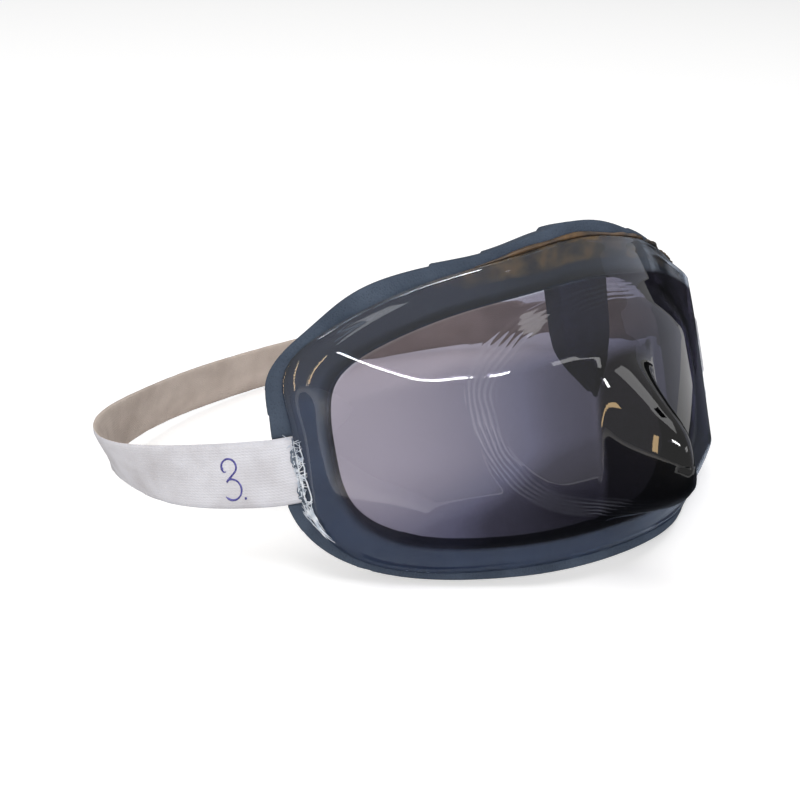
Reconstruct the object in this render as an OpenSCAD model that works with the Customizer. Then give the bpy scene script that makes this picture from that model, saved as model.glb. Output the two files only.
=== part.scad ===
// Swim mask: a thermoformed tinted shell glued to a foam gasket, held by one elastic strap.
// It stands as it is set down on a table: leaning back on the foam's lower edge and the rear of the strap.
// Across the face, s is measured along the wrapped front of the foam and h is the height above the
// middle line of the mask. Distances off the foam's front are positive towards the viewer.

/* [Face wrap] */
// Radius of the bend across the nose, at the front of the foam
bend_radius = 62; // [56:1:80]
// Angle of the straight sides to the line across the face
side_angle = 32.5; // [27:0.5:38]
// Angle at which the mask leans back on the table
lean_angle = 20; // [15:0.5:23]

/* [Outline] */
// Distance along the foam from the middle of the mask to its end
half_span = 100.5; // [94:0.5:107]
// Height of the foam
mask_height = 93; // [88:1:100]
// Rise of the brow over that height in the middle
brow_rise = 3.8; // [0:0.2:5]
// Squareness of the foam's outline, 2 is an ellipse
outline_power = 2.8; // [2.6:0.05:3.1]
// Squareness of the plastic's rim
rim_power = 3.3; // [2.9:0.05:3.4]
// Squareness of the opening in the foam
opening_power = 3.05; // [2.7:0.05:3.2]

/* [Foam gasket] */
// Thickness of the foam sheet
foam_t = 9; // [6:0.5:11]
// Width of the foam at the sides
foam_side = 16.7; // [15.5:0.1:20]
// Width of the foam at the top
foam_top = 12.5; // [11:0.5:15]
// Width of the foam at the bottom
foam_bottom = 10.5; // [9:0.5:13]
// Width of the nose bridge tongue where it leaves the ring
tongue_w = 18; // [14:1:22]
// Length of the nose bridge tongue
tongue_length = 34.5; // [27:0.5:36]

/* [Shell] */
// Thickness of the plastic sheet
shell_t = 1.2; // [0.8:0.1:1.6]
// Bare foam outside the plastic at the sides
margin_side = 6.5; // [5.5:0.5:9]
// Bare foam outside the plastic at the top
margin_top = 3; // [2.6:0.1:4.5]
// Bare foam outside the plastic at the bottom
margin_bottom = 3.2; // [2.6:0.1:4.5]
// Height that the pane reaches above the foam
pane_height = 8; // [6.5:0.5:11]
// Height of the pane where it starts at the side, before its edge is rounded off
side_step = 2; // [1:0.2:4]
// Rise of the pane in from the side, for each millimetre across
side_slope = 0.16; // [0.12:0.01:0.3]
// Rise of the pane down from the top, for each millimetre
top_slope = 0.42; // [0.32:0.02:0.7]
// Rise of the pane up from the bottom, for each millimetre
bottom_slope = 0.46; // [0.36:0.02:0.7]
// Width over which two faces of the pane round into each other
crease_round = 1.6; // [1:0.2:4]

/* [Centre dome and nose pocket] */
// Half width of the round dome about the nose
dome_half_w = 42; // [38:1:46]
// Half height of the dome
dome_half_h = 32; // [28:0.5:33]
// Widening of the dome upwards, for each millimetre
dome_taper = 0.22; // [0:0.02:0.3]
// Step up on to the dome
dome_step = 2; // [1:0.2:5]
// Height of the nose tip above the foam
nose_height = 32; // [27:1:40]
// Height of the bridge of the nose pocket above the foam
bridge_height = 11; // [9:0.5:15]
// Level of the bridge above the middle line
bridge_level = 14; // [11:1:18]
// Level of the nose tip below the middle line
tip_drop = 17.5; // [15:0.5:20]
// Half width of the nose pocket's foot at the bridge
bridge_half_w = 9.5; // [8:0.5:14]
// Half width of the nose pocket's foot at the nostrils
nostril_half_w = 11; // [9:0.5:16]
// Rounding of the nose pocket's ridge
ridge_round = 3; // [1.5:0.5:6]

/* [Adhesive] */
// Thickness of the glue film under the flange
film_t = 0.4; // [0.2:0.1:0.6]
// Width of the glue that is squeezed out along the top
bead_w = 2.4; // [1.5:0.1:2.6]
// Height of the squeezed out glue
bead_h = 1.7; // [1.2:0.1:2.2]
// Width of the glue and loose threads at each strap end
patch_w = 3.2; // [2.5:0.1:4.5]
// Thickness of that patch
patch_t = 0.6; // [0.3:0.1:1]
// Reach of the loose threads below the strap
thread_run = 11; // [6:1:14]

/* [Strap] */
// Width of the elastic
strap_w = 20; // [18:0.5:25]
// Thickness of the elastic
strap_t = 1.2; // [0.9:0.1:1.5]
// Distance of the strap's middle below the middle line of the mask
strap_drop = 2.5; // [0:0.5:7]
// Length of each end that is pushed in under the plastic
strap_tuck = 4; // [3:0.5:7]
// Distance that the loop bows out past the ends of the mask
strap_bow = 32; // [24:1:38]
// Share of the loop, in degrees from each side, that belongs to the side bands
side_share = 35; // [20:1:50]

/* [Hidden] */

// steps round each outline, and cuts along the flange and the pane from the rim to the nose tip
steps = 96;
flange_cuts = [0, 1/3, 2/3, 1];
pane_cuts = [0.985, 0.95, 0.9, 0.82, 0.72, 0.62, 0.52, 0.43, 0.35, 0.28, 0.22, 0.17, 0.13, 0.09, 0.06, 0.03];
middle = mask_height / 2;
fit_gap = 0.05;
end_gap = 0.45;
edge_fade = 0.1;
dome_power = 2.4;
nose_fillet = 1.6;
tip_round = 6;
under_rise = 2.5;
tongue_clear = 0.15;

// the wrap: a bend across the nose that runs on into straight sides
bend_length = bend_radius * side_angle * PI / 180;
function wrap_angle(s) = min(abs(s), bend_length) / bend_radius * 180 / PI;
function wrap_x(s) = bend_radius * sin(wrap_angle(s)) + max(abs(s) - bend_length, 0) * cos(side_angle);
function wrap_y(s) = bend_radius * (1 - cos(wrap_angle(s))) + max(abs(s) - bend_length, 0) * sin(side_angle);
function brow(s, h) = brow_rise * max(0, h / middle) * pow(max(0, 1 - pow(s / half_span, 2)), 2);
function on_wrap(s, h, off) = [
    sign(s) * (wrap_x(s) + off * sin(wrap_angle(s))),
    wrap_y(s) - off * cos(wrap_angle(s)),
    middle + h + brow(s, h)
];

// outlines: rounded rectangles that follow a power curve, as [half width, half height, centre height, power]
foam_outline = [half_span, middle, 0, outline_power];
rim_outline = [half_span - margin_side, middle - (margin_top + margin_bottom) / 2,
               (margin_bottom - margin_top) / 2, rim_power];
opening_outline = [half_span - foam_side, middle - (foam_top + foam_bottom) / 2,
                   (foam_bottom - foam_top) / 2, opening_power];
function power_norm(x, y, power) = pow(pow(abs(x), power) + pow(abs(y), power), 1 / power);
function outline_point(o, a) = let (d = power_norm(cos(a), sin(a), o[3]))
    [o[0] * cos(a) / d, o[2] + o[1] * sin(a) / d];
function outline_reach(o, h) = o[0] * pow(1 - pow(min(abs(h - o[2]) / o[1], 1), o[3]), 1 / o[3]);
function step_angle(i) = 360 * i / steps;
function blend(a, b, f) = a + (b - a) * f;
function flange_point(i, f) = blend(outline_point(rim_outline, step_angle(i)),
                                    outline_point(opening_outline, step_angle(i)), f);

// the height of the shell above its flange
function soft_min(a, b, r) = min(a, b) - pow(max(r - abs(a - b), 0), 2) / (4 * r);
function soft_max(a, b, r) = max(a, b) + pow(max(r - abs(a - b), 0), 2) / (4 * r);
function ease(v) = let (c = max(0, min(1, v))) c * c * (3 - 2 * c);
function inset(s, h) = 1 - power_norm(s / opening_outline[0], (h - opening_outline[2]) / opening_outline[1],
                                      opening_power);
function roof(s, h) = soft_min(
    soft_min(side_step + side_slope * (opening_outline[0] - abs(s)),
             top_slope * (opening_outline[2] + opening_outline[1] - h), crease_round),
    soft_min(bottom_slope * (h - opening_outline[2] + opening_outline[1]), pane_height, crease_round),
    crease_round);
function dome_reach(s, h) = power_norm(s / (dome_half_w + dome_taper * h), h / dome_half_h, dome_power);
function dome(s, h) = dome_step * ease((1.06 - dome_reach(s, h)) / 0.3);
function pane(s, h) = roof(s, h) + dome(s, h);
nose_run = bridge_level + tip_drop - tip_round;
function ridge_up(h) = bridge_height + (nose_height + 2 - bridge_height) * (bridge_level - h) / nose_run;
under_run = opening_outline[1] - opening_outline[2] - tip_drop - under_rise;
function ridge_under(h) = (nose_height + 1)
    * pow(max(0, 1 - pow(max(0, -tip_drop - h) / under_run, 2.4)), 1 / 1.7);
function ridge(h) = soft_min(soft_min(ridge_up(h), nose_height, tip_round), ridge_under(h), 4);
function nose_half(h) = blend(bridge_half_w, nostril_half_w,
                              ease((bridge_level - h) / (bridge_level + tip_drop)));
function rounded(s) = norm([s, ridge_round]) - ridge_round;
function nose(s, h) = let (rise = ridge(h) - pane(0, h))
    rise > 0 ? rise * (1 - rounded(s) / rounded(nose_half(h))) : rise;
function shell_height(s, h) = let (in = inset(s, h))
    in <= 0 ? 0 : pane(s, h) * ease(in / edge_fade) + soft_max(0, nose(s, h), nose_fillet);

// closed surfaces from rows of points: a ring closes on itself, a cap runs from pole to pole
function ring_faces(n, rows) = [for (j = [0:rows - 1], i = [0:n - 1], k = [0, 1])
    let (next = (i + 1) % n, a = j * n + i, b = j * n + next,
         c = ((j + 1) % rows) * n + next, d = ((j + 1) % rows) * n + i)
    j < rows / 2 ? (k == 0 ? [a, c, b] : [a, d, c]) : (k == 0 ? [a, d, b] : [b, d, c])];
function cap_faces(n, rows) = concat(
    [for (i = [0:n - 1]) [rows * n, i, (i + 1) % n]],
    [for (j = [0:rows - 2], i = [0:n - 1], k = [0, 1])
        let (a = j * n + i, b = j * n + (i + 1) % n, c = (j + 1) * n + (i + 1) % n, d = (j + 1) * n + i)
        j < rows / 2 ? (k == 0 ? [a, d, b] : [b, d, c]) : (k == 0 ? [a, d, c] : [a, c, b])],
    [for (i = [0:n - 1]) [rows * n + 1, (rows - 1) * n + (i + 1) % n, (rows - 1) * n + i]]);

// the shell's own points, from the nose tip out along the back and in again along the front
nose_pole = [0, -tip_drop];
function pane_point(i, w) = blend(nose_pole, outline_point(opening_outline, step_angle(i)), w);
function shell_point(p, off) = on_wrap(p[0], p[1], film_t + off + shell_height(p[0], p[1]));
pane_rows = len(pane_cuts);
flange_rows = len(flange_cuts);
side_rows = pane_rows + flange_rows;
shell_points = concat(
    [for (j = [pane_rows - 1:-1:0], i = [0:steps - 1]) shell_point(pane_point(i, pane_cuts[j]), 0)],
    [for (j = [flange_rows - 1:-1:0], i = [0:steps - 1]) shell_point(flange_point(i, flange_cuts[j]), 0)],
    [for (j = [0:flange_rows - 1], i = [0:steps - 1]) shell_point(flange_point(i, flange_cuts[j]), shell_t)],
    [for (j = [0:pane_rows - 1], i = [0:steps - 1]) shell_point(pane_point(i, pane_cuts[j]), shell_t)],
    [shell_point(nose_pole, 0), shell_point(nose_pole, shell_t)]);

// the foam's points, from its outer edge in along the front and out again along the back
function foam_row(off, back) = [for (j = [0:flange_rows], i = [0:steps - 1])
    let (k = back ? flange_rows - j : j,
         p = k == 0 ? outline_point(foam_outline, step_angle(i)) : flange_point(i, flange_cuts[k - 1]))
    on_wrap(p[0], p[1], off)];
foam_points = concat(foam_row(0, false), foam_row(-foam_t, true));

// where the mask stands once it leans back
function leaned_y(p) = p[1] * cos(lean_angle) + p[2] * sin(lean_angle);
function leaned_z(p) = p[2] * cos(lean_angle) - p[1] * sin(lean_angle);
floor_level = min([for (p = foam_points) leaned_z(p)]);

// the strap's loop: an ellipse that leaves each side of the mask along its straight side
strap_exit_s = half_span + 1;
strap_exit = on_wrap(strap_exit_s, -strap_drop, -strap_t / 2);
exit_y = leaned_y(strap_exit);
exit_z = leaned_z(strap_exit) - floor_level;
loop_a = strap_exit[0] + strap_bow;
loop_rise = sqrt(1 - pow(strap_exit[0] / loop_a, 2));
loop_b = tan(side_angle) * loop_a * loop_a * loop_rise / strap_exit[0];
loop_depth = loop_b * (1 + loop_rise);
loop_start = -asin(loop_rise);
loop_reach = norm([loop_depth, strap_w / 2]);
strap_fall = asin(exit_z / loop_reach) - atan(strap_w / 2 / loop_depth);
loop_steps = 26;
function loop_point(a, off) = let (d = norm([loop_b * cos(a), loop_a * sin(a)]))
    [-loop_a * cos(a) - off * loop_b * cos(a) / d,
     loop_b * (loop_rise + sin(a)) + off * loop_a * sin(a) / d];
function gap_angle(g) = g * 180 / PI / norm([loop_a * sin(loop_start), loop_b * cos(loop_start)]);

// the frame's origin: on the table under the middle of the whole mask
front_y = min([for (p = shell_points) leaned_y(p)]);
rear_y = exit_y + (loop_depth + strap_t / 2) * cos(strap_fall) + strap_w / 2 * sin(strap_fall);
origin_y = (front_y + rear_y) / 2;

module lean() {
    translate([0, -origin_y, -floor_level])
    rotate([-lean_angle, 0, 0])
    children();
}

// a frame on the right straight side: x runs along the foam, y goes in, z runs up from the middle line
module on_right_side() {
    translate([wrap_x(bend_length), wrap_y(bend_length), middle])
    rotate([0, 0, side_angle])
    translate([-bend_length, 0, 0])
    children();
}

module tab_block(deep, high) {
    start = rim_outline[0] - strap_tuck;
    translate([start, -high, -strap_drop - strap_w / 2])
    cube([strap_exit_s - end_gap - start, deep + high, strap_w]);
}

module visor_shell() {
    color([0.42, 0.39, 0.48, 0.55])
    lean()
    polyhedron(shell_points, cap_faces(steps, 2 * side_rows), 6);
}

module tongue() {
    root = opening_outline[2] + opening_outline[1] + 2 + brow_rise * 0.75;
    cuts = [0, 0.01, 0.03, 0.07, 0.13, 0.22, 0.34, 0.5, 0.7, 1];
    half = [for (c = cuts) [tongue_w / 2 * sqrt(c), root - tongue_length * (1 - c)]];
    other = [for (k = [len(cuts) - 1:-1:1]) [-half[k][0], half[k][1]]];
    intersection() {
        translate([0, bend_radius, 0])
        difference() {
            cylinder(r = bend_radius - tongue_clear, h = mask_height + brow_rise, $fn = 180);
            translate([0, 0, -1])
            cylinder(r = bend_radius - foam_t, h = mask_height + brow_rise + 2, $fn = 180);
        }
        translate([0, bend_radius / 2, middle])
        rotate([90, 0, 0])
        linear_extrude(bend_radius)
        polygon(concat(half, other));
    }
}

module foam_gasket() {
    color([0.26, 0.3, 0.36])
    lean()
    difference() {
        union() {
            polyhedron(foam_points, ring_faces(steps, 2 * (flange_rows + 1)), 6);
            tongue();
        }
        on_right_side() tab_block(strap_t, 1);
        mirror([1, 0, 0]) on_right_side() tab_block(strap_t, 1);
    }
}

module adhesive_film() {
    inside = [for (j = [0:flange_rows - 1], i = [0:steps - 1])
        let (p = flange_point(i, flange_cuts[j])) on_wrap(p[0], p[1], film_t)];
    outside = [for (j = [0:flange_rows - 1], i = [0:steps - 1])
        let (p = flange_point(i, flange_cuts[flange_rows - 1 - j])) on_wrap(p[0], p[1], 0)];
    color([0.43, 0.33, 0.2, 0.6])
    lean()
    polyhedron(concat(inside, outside), ring_faces(steps, 2 * flange_rows), 6);
}

// a ridge of set glue along the rim, from left of the middle of the top to the right end
module adhesive_bead() {
    profile = [[fit_gap, fit_gap], [bead_w, fit_gap], [bead_w * 0.85, bead_h * 0.55],
               [bead_w * 0.45, bead_h * 0.95], [fit_gap, bead_h]];
    first = 7;
    last = 29;
    sides = len(profile);
    rings = last - first + 1;
    points = [for (i = [first:last], q = profile)
        let (r = outline_point(rim_outline, step_angle(i)), o = outline_point(foam_outline, step_angle(i)),
             p = r + (o - r) / norm(o - r) * q[0] * min(1, (norm(o - r) - fit_gap) / bead_w))
        on_wrap(p[0], p[1], q[1])];
    skin = [for (j = [0:rings - 2], k = [0:sides - 1], m = [0, 1])
        let (a = j * sides + k, b = j * sides + (k + 1) % sides,
             c = (j + 1) * sides + (k + 1) % sides, d = (j + 1) * sides + k)
        m == 0 ? [a, b, d] : [b, c, d]];
    tail = (rings - 1) * sides;
    ends = concat([for (k = [1:sides - 2]) [0, k + 1, k]],
                  [for (k = [1:sides - 2]) [tail, tail + k, tail + k + 1]]);
    color([0.5, 0.37, 0.2])
    lean()
    polyhedron(points, concat(skin, ends), 4);
}

module strap_end() {
    color([0.85, 0.86, 0.87])
    on_right_side()
    tab_block(strap_t, 0);
}

module right_strap_end() {
    lean() strap_end();
}

module left_strap_end() {
    lean() mirror([1, 0, 0]) strap_end();
}

// glue and loose threads along the plastic's rim, over the strap end and a little way below it
module strap_glue() {
    top = -strap_drop + strap_w / 2 - 1;
    bottom = -strap_drop - strap_w / 2 - thread_run;
    rows = 9;
    heights = [for (k = [0:rows]) blend(bottom, top, k / rows)];
    inner = [for (h = heights) [outline_reach(rim_outline, h) + 2 * fit_gap, h]];
    outer = [for (k = [rows:-1:0])
        [outline_reach(rim_outline, heights[k]) + patch_w * (k % 2 == 0 ? 1 : 0.75), heights[k]]];
    color([0.66, 0.7, 0.76])
    on_right_side()
    rotate([90, 0, 0])
    linear_extrude(patch_t)
    polygon(concat(inner, outer));
}

module right_strap_glue() {
    lean() strap_glue();
}

module left_strap_glue() {
    lean() mirror([1, 0, 0]) strap_glue();
}

// one stretch of the loop, between two angles round the ellipse
module band(from, to) {
    angles = [for (k = [0:loop_steps]) blend(from, to, k / loop_steps)];
    outer = [for (a = angles) loop_point(a, strap_t / 2)];
    inner = [for (k = [loop_steps:-1:0]) loop_point(angles[k], -strap_t / 2)];
    translate([0, exit_y - origin_y, exit_z])
    rotate([-strap_fall, 0, 0])
    linear_extrude(strap_w, center = true)
    polygon(concat(outer, inner));
}

module left_strap_side() {
    color([0.8, 0.8, 0.8])
    band(loop_start + gap_angle(end_gap), side_share - gap_angle(fit_gap));
}

module right_strap_side() {
    color([0.8, 0.8, 0.8])
    band(180 - side_share + gap_angle(fit_gap), 180 - loop_start - gap_angle(end_gap));
}

module strap_rear() {
    color([0.78, 0.76, 0.73])
    band(side_share, 180 - side_share);
}

visor_shell();
foam_gasket();
adhesive_film();
adhesive_bead();
left_strap_end();
right_strap_end();
left_strap_glue();
right_strap_glue();
left_strap_side();
right_strap_side();
strap_rear();
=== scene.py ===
"""Swim mask: the dressed pieces, materials and light, in the CAD model's own frame."""
import math
from collections import namedtuple

import bmesh
import bpy
import numpy as np
from mathutils import Matrix, Vector


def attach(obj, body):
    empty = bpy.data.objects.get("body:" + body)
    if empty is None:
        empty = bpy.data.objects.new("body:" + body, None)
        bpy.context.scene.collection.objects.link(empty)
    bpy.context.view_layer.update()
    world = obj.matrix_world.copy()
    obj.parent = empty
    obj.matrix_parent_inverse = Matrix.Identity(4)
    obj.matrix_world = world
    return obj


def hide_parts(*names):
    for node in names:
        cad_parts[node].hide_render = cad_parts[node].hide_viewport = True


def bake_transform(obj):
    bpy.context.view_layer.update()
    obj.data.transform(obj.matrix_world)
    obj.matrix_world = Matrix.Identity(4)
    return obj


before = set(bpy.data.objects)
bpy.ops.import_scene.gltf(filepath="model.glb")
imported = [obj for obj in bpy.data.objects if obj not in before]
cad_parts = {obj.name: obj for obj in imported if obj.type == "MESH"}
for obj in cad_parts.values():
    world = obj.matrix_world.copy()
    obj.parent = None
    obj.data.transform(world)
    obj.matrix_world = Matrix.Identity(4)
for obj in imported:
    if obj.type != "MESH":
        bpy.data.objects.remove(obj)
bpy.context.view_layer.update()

MM = 0.001
CIRCLE = 2 * math.pi

# -------- sizes, in millimetres
# As in the part's source. s runs along the wrapped front of the foam from the middle, h is the
# height above the mask's middle line, and off is the distance outward from the foam's front.
BEND_RADIUS = 62.0  # of the bend across the nose
SIDE_ANGLE = math.radians(32.5)  # of the straight sides to the line across the face
BEND_LENGTH = BEND_RADIUS * SIDE_ANGLE
LEAN = math.radians(20.0)  # of the mask on the table
HALF_SPAN, HALF_HEIGHT, BROW_RISE = 100.5, 46.5, 3.8
FOAM_T, FILM_T, SHELL_T = 9.0, 0.4, 1.2
STRAP_W, STRAP_T = 20.0, 1.2
STRAP_DROP = 2.5  # of the strap's middle below the mask's
STRAP_BOW = 32.0  # of the loop beyond the foam's ends
STRAP_TUCK = 4.0  # pushed in under the plastic
HINGE_Y, HINGE_Z = -19.49, 32.161  # where the strap leaves the foam, strap_swing in the record
FALL = math.radians(10.8105)  # of the strap from the foam to the table

Outline = namedtuple("Outline", "half_width half_height middle power")
FOAM_EDGE = Outline(HALF_SPAN, HALF_HEIGHT, 0.0, 2.8)
RIM = Outline(94.0, 43.4, 0.1, 3.3)
OPENING = Outline(83.8, 35.0, -1.0, 3.05)
# Hand trimming of the upper edge: direction from the middle and width in degrees, pull in mm.
HAND_TRIM = ((91, 13, 3.2), (118, 15, 1.0), (148, 13, 3.8), (47, 20, -4.2))
FURTHEST_TRIM = 1.1  # share of the outline past which the pull no longer grows

# The pane's faces: height, where the sides begin to fall and how sharply, slopes, rounding.
PANE_HEIGHT, SIDE_HEIGHT, SIDE_FLAT, SIDE_POWER = 8.0, 8.3, 46, 1.4
TOP_SLOPE, BOTTOM_SLOPE = 0.286, 0.34
TOP_CREASE, BOTTOM_CREASE, PANE_CREASE = 0.6, 1.2, 0.7
# The low dome round the nose, and where its step begins and how wide it is in shares of its reach.
DOME_HALF_W, DOME_HALF_H, DOME_WIDENING, DOME_POWER = 42, 32, 0.22, 2.4
DOME_STEP, DOME_FOOT, DOME_SLOPE = 2.0, 1.06, 0.3
# The nose pocket: levels are heights above the mask's middle line, heights are off the foam.
NOSE_TIP = (0.0, -17.5)
BRIDGE_LEVEL, BRIDGE_HEIGHT, RIDGE_GAIN, RIDGE_RUN = 14, 11, 23, 25.5
TIP_HEIGHT, TIP_ROUND = 32, 6
UNDER_HEIGHT, UNDER_MARGIN, UNDER_ROUND = 33, 2.5, 4
UNDER_POWER, UNDER_FULLNESS = 2.4, 1.7
BRIDGE_HALF_W, NOSTRIL_FLARE, RIDGE_ROUND = 9.5, 1.5, 3
FOOT_FILLET, FOOT_FALL = 2.2, 3.5
# Share of the way in from the rim that stays flat, and over which the pane then rises.
RIM_FLAT, RIM_RISE = 0.012, 0.07


# -------- shared forms
def ease(value):
    """Smooth step of the value clipped to 0..1."""
    c = np.clip(value, 0, 1)
    return c * c * (3 - 2 * c)


def bells(value, table):
    """Sum of bell curves from rows of middle, width and height: each is its height times the
    exponential of minus the square of the distance from its middle in widths."""
    return sum(high * np.exp(-((value - middle) / width) ** 2) for middle, width, high in table)


def soft_min(a, b, r):
    """The lower of two surfaces, rounded over the width r where they cross."""
    return np.minimum(a, b) - np.maximum(r - abs(a - b), 0) ** 2 / (4 * r)


def soft_max(a, b, r):
    """The higher of two surfaces, rounded over the width r where they cross."""
    return np.maximum(a, b) + np.maximum(r - abs(a - b), 0) ** 2 / (4 * r)


def hills(x, y, seed, size, layers=3):
    """Sum of seeded sine waves in random directions, wavelength about size, height about 1."""
    dice = np.random.default_rng(seed)
    total = 0 * (x + y)
    for layer in range(layers * 3):
        way, phase = dice.uniform(0, CIRCLE, 2)
        length = size * dice.uniform(0.5, 1.5) / (1 + layer // 3)
        along = x * math.cos(way) + y * math.sin(way)
        total = total + np.sin(along * CIRCLE / length + phase) / (2 + layer)
    return total


def outline(edge, angle):
    """Superellipse point (s, h): cosine and sine keep their sign and are raised to 2 / power."""
    across, up = (np.sign(v) * abs(v) ** (2 / edge.power) for v in (np.cos(angle), np.sin(angle)))
    return edge.half_width * across, edge.middle + edge.half_height * up


def share_out(edge, s, h):
    """How far out a place lies in an outline, 0 in its middle and 1 on it, by the power sum."""
    across, up = abs(s) / edge.half_width, abs(h - edge.middle) / edge.half_height
    return (across ** edge.power + up ** edge.power) ** (1 / edge.power)


def between(inner, outer, share):
    """Rows of (s, h) at shares of the way from an inner line or point to an outer line."""
    return [a + (b - a) * np.asarray(share)[:, None] for a, b in zip(inner, outer)]


def trimmed(s, h):
    """The form as cut by hand: pulled out at the brow and the left top corner, in at the right
    one. Each pull is a bell over the direction from the middle, and grows with the distance's
    cube."""
    way = np.degrees(np.arctan2(h / HALF_HEIGHT, s / HALF_SPAN))
    pull = bells(way, HAND_TRIM)
    reach = np.minimum(np.hypot(s / HALF_SPAN, h / HALF_HEIGHT), FURTHEST_TRIM) ** 3
    stretch = 1 + pull * reach / np.maximum(np.hypot(s, h), 1)
    return s * stretch, h * stretch


def wrapped(s, h, off):
    """Point of a place on the mask: the front bends at a fixed radius over the nose and runs on
    straight, is raised by the brow in the middle of the top, and leans back by a turn about x."""
    s, h, off = np.broadcast_arrays(np.asarray(s, float), h, off)
    s, h = trimmed(s, h)
    turn = np.minimum(abs(s), BEND_LENGTH) / BEND_RADIUS
    rest = np.maximum(abs(s) - BEND_LENGTH, 0)
    x = np.sign(s) * ((BEND_RADIUS + off) * np.sin(turn) + rest * math.cos(SIDE_ANGLE))
    y = BEND_RADIUS - (BEND_RADIUS + off) * np.cos(turn) + rest * math.sin(SIDE_ANGLE)
    fade = np.maximum(0, 1 - (s / HALF_SPAN) ** 2) ** 2
    z = HALF_HEIGHT + h + BROW_RISE * np.maximum(0, h / HALF_HEIGHT) * fade
    return np.stack([x, y * math.cos(LEAN) + z * math.sin(LEAN),
                     z * math.cos(LEAN) - y * math.sin(LEAN)], -1)


# -------- the shell's height
def roof(s, h):
    """Lowest of two planes that rise from the top and bottom of the rim, two faintly domed sides
    and the flat pane, each rounded where it meets the next."""
    fallen = np.maximum((abs(s) - SIDE_FLAT) / (RIM.half_width - SIDE_FLAT), 0) ** SIDE_POWER
    side = SIDE_HEIGHT * (1 - fallen)
    top = TOP_SLOPE * (RIM.middle + RIM.half_height - h)
    bottom = BOTTOM_SLOPE * (h - RIM.middle + RIM.half_height)
    upper = soft_min(side, top, TOP_CREASE)
    lower = soft_min(bottom, PANE_HEIGHT + 0 * s, BOTTOM_CREASE)
    return soft_min(upper, lower, PANE_CREASE)


def dome_reach(s, h):
    """Distance from the middle of the dome, 1 at its edge, by a power sum that widens upwards."""
    across, up = abs(s) / (DOME_HALF_W + DOME_WIDENING * h), abs(h) / DOME_HALF_H
    return (across ** DOME_POWER + up ** DOME_POWER) ** (1 / DOME_POWER)


def pane(s, h):
    """The roof with the dome's low step on it."""
    return roof(s, h) + DOME_STEP * ease((DOME_FOOT - dome_reach(s, h)) / DOME_SLOPE)


def ridge(h):
    """Height of the nose pocket's ridge: an even ramp from the bridge down to the tip, and a
    power curve back under it, rounded where they meet."""
    ramp = BRIDGE_HEIGHT + RIDGE_GAIN * (BRIDGE_LEVEL - h) / RIDGE_RUN
    under_run = OPENING.half_height - OPENING.middle + NOSE_TIP[1] - UNDER_MARGIN
    below = np.maximum(0, NOSE_TIP[1] - h) / under_run
    under = UNDER_HEIGHT * np.maximum(0, 1 - below ** UNDER_POWER) ** (1 / UNDER_FULLNESS)
    return soft_min(soft_min(ramp, TIP_HEIGHT + 0 * h, TIP_ROUND), under, UNDER_ROUND)


def rounded(s):
    """Distance from the ridge, with the ridge itself rounded off."""
    return np.hypot(s, RIDGE_ROUND) - RIDGE_ROUND


def nose(s, h):
    """Pyramid with a rounded ridge on the pane: its rise falls off evenly to a narrow foot, and
    goes on down beyond it."""
    rise = ridge(h) - pane(0 * s, h)
    foot = BRIDGE_HALF_W + NOSTRIL_FLARE * ease((BRIDGE_LEVEL - h) / (BRIDGE_LEVEL - NOSE_TIP[1]))
    across = rounded(s) / rounded(foot)
    return np.where(rise > 0, rise * (1 - across), rise) - FOOT_FALL * np.maximum(across - 1, 0)


def shell_height(s, h):
    """Height of the plastic over the foam: the pane faded out at the rim, plus the nose."""
    inset = 1 - share_out(RIM, s, h)
    faded = pane(s, h) * ease((inset - RIM_FLAT) / RIM_RISE)
    return np.where(inset <= RIM_FLAT, 0, faded + soft_max(0 * s, nose(s, h), FOOT_FILLET))


def dye_and_painted_shade(s, h):
    """Depth of the dye, 0 to 1, with painted shade and light in it: painted shade makes it deeper
    towards the nose and the bottom and deepest on the nose itself, and painted light makes it paler
    along the top."""
    # painted shade deepens the tint towards the nose and the bottom, painted light makes it paler
    # along the top
    deep = 0.5 * ease((80 - abs(s)) / 68) + 0.3 * ease((-4 - h) / 24) - 0.3 * ease((h - 14) / 9)
    deep = deep + 0.07 * ease((38 - abs(s)) / 18)
    return deep + (1 - deep) * ease(nose(s, h) / 1.8)


# -------- place in the frame
# It stands on the table under the middle of the whole mask.
FOAM_LINE = outline(FOAM_EDGE, np.radians(np.arange(0, 360, 3.75)))
FLOOR = min(wrapped(*FOAM_LINE, off)[:, 2].min() for off in (0.0, -FOAM_T))
EXIT = wrapped(-(HALF_SPAN + 1), -STRAP_DROP, -STRAP_T / 2)
SHIFT = np.array([0, HINGE_Y - EXIT[1], -FLOOR])
# The strap's loop: half width, share of the half depth at which it meets the mask, half depth.
LOOP_A = -EXIT[0] + STRAP_BOW
LOOP_RISE = math.sqrt(1 - (EXIT[0] / LOOP_A) ** 2)
LOOP_B = math.tan(SIDE_ANGLE) * LOOP_A ** 2 * LOOP_RISE / -EXIT[0]
ON_FOAM = HALF_SPAN + 1 - (RIM.half_width - STRAP_TUCK)  # length of strap up to the foam's end
ROOT_END = ON_FOAM + 24.0


def on_mask(s, h, off):
    """Frame point in metres of a place on the mask."""
    return (wrapped(s, h, off) + SHIFT) * MM


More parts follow.
